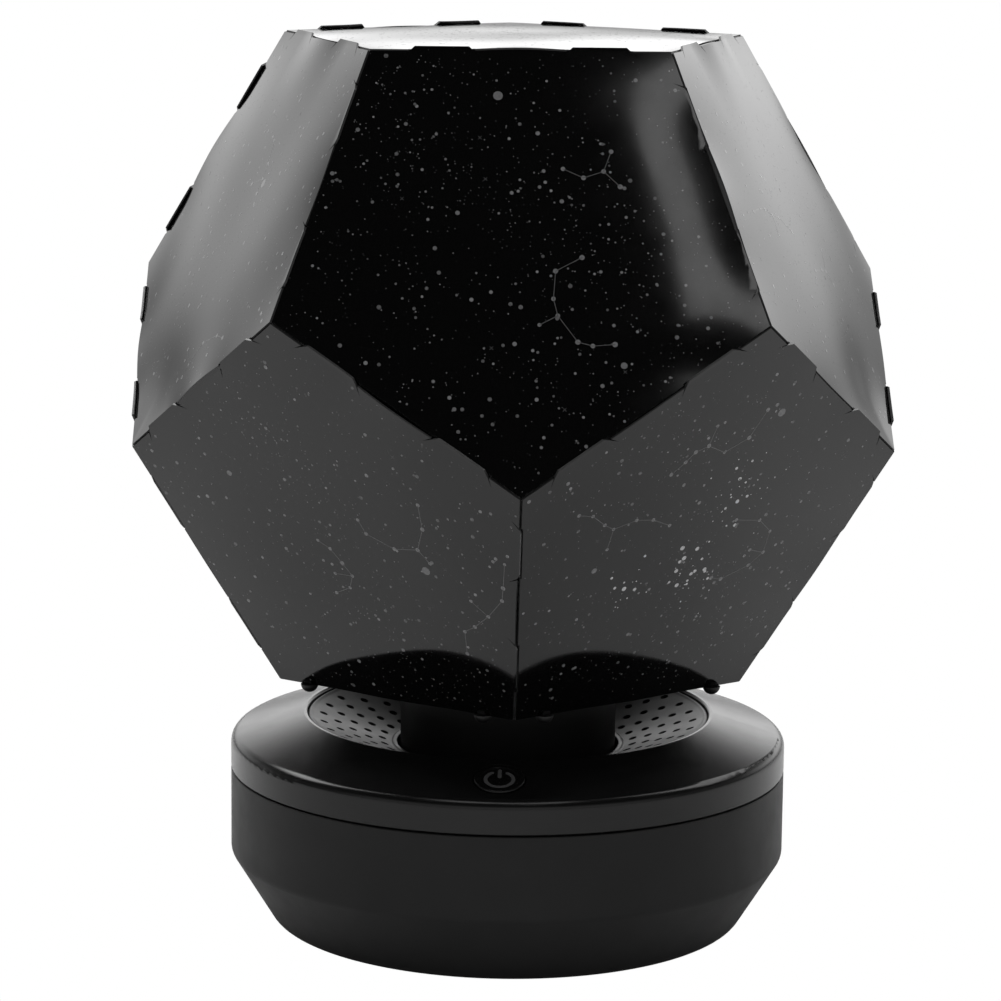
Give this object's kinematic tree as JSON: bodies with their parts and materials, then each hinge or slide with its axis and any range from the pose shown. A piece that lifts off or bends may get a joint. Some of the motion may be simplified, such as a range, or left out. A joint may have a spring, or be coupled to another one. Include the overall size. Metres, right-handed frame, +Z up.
{
  "type": "planetarium projector",
  "caption": "Home planetarium projector: a faceted star dome of printed film turns on a round neck over a drum-shaped base with a power button and a lamp at the dome's centre.",
  "frame": {"origin": "on the table under the axis of the base, at the bottom of the rubber pad", "axes": "+Z up along the dome's turning axis, -Y towards the front with the power button, +X to the right seen from the front"},
  "size_m": [0.1729, 0.1782, 0.206],
  "materials": {
    "black_film": "glossy printed black film",
    "carrier_plastic": "satin black moulded plastic",
    "cover_plastic": "satin black moulded plastic with fine grain",
    "shell_plastic": "matte black moulded plastic with fine grain",
    "grille_plastic": "dark satin perforated plastic",
    "clip_plastic": "black nylon clips",
    "button_plastic": "satin black key cap with a grey printed symbol",
    "inner_plastic": "plain black moulded plastic",
    "gear_plastic": "natural acetal",
    "bush_bronze": "sintered bronze",
    "washer_nylon": "white nylon",
    "steel": "zinc-plated steel",
    "motor_steel": "pressed steel",
    "rubber": "soft black rubber",
    "bulb_glass": "clear glass",
    "nickel": "nickel-plated brass",
    "lead_insulation": "soft red insulation",
    "speaker_paper": "black pressed paper",
    "ferrite": "dark ferrite",
    "board_green": "green solder mask",
    "chip_black": "black moulded epoxy",
    "battery_wrap": "blue shrink sleeve"
  },
  "bodies": {
    "base": {"lower_shell": "shell_plastic", "top_cover": "cover_plastic", "speaker_grille": "grille_plastic", "inner_deck": "inner_plastic", "rubber_pad": "rubber", "shell_screws": "steel", "gear_motor": "motor_steel", "motor_screws": "steel", "lamp_post": "inner_plastic", "post_screws": "steel", "thrust_washer": "washer_nylon", "lamp_socket": "inner_plastic", "bulb_cap": "nickel", "bulb_glass": "bulb_glass", "lamp_leads": "lead_insulation", "speaker_frame": "motor_steel", "speaker_cone": "speaker_paper", "speaker_magnet": "ferrite", "speaker_screws": "steel", "push_switch": "chip_black", "key_board": "board_green", "key_board_screws": "steel", "main_board": "board_green", "board_parts": "chip_black", "board_screws": "steel", "charge_board": "board_green", "charge_socket": "steel", "charge_board_screws": "steel", "battery_cell": "battery_wrap"},
    "dome": {"film_top": "black_film", "film_upper_1": "black_film", "film_upper_2": "black_film", "film_upper_3": "black_film", "film_upper_4": "black_film", "film_upper_5": "black_film", "film_lower_1": "black_film", "film_lower_2": "black_film", "film_lower_3": "black_film", "film_lower_4": "black_film", "film_lower_5": "black_film", "film_carrier": "carrier_plastic", "carrier_screws": "steel", "film_clips": "clip_plastic", "drive_gear": "gear_plastic", "bearing_bush": "bush_bronze", "neck": "carrier_plastic", "gear_screws": "steel"},
    "pinion": {"motor_pinion": "gear_plastic", "motor_shaft": "steel"},
    "button": {"power_button": "button_plastic", "switch_plunger": "inner_plastic"}
  },
  "joints": [
    {"name": "dome_spin", "type": "hinge", "parent": "base", "child": "dome", "pos_m": [0, 0, 0.05], "axis": [0, 0, 1], "continuous": true},
    {"name": "pinion_spin", "type": "hinge", "parent": "base", "child": "pinion", "pos_m": [0.0336, 0, 0.03], "axis": [0, 0, 1], "continuous": true},
    {"name": "button_press", "type": "slide", "parent": "base", "child": "button", "axis": [0, 0.3007, -0.9537], "range_m": [0, 0.0005], "stiffness_N_per_m": 1500, "springref_m": -0.0005}
  ],
  "couplings": [
    {"joint": "pinion_spin", "follows": "dome_spin", "ratio": -3.6667}
  ]
}
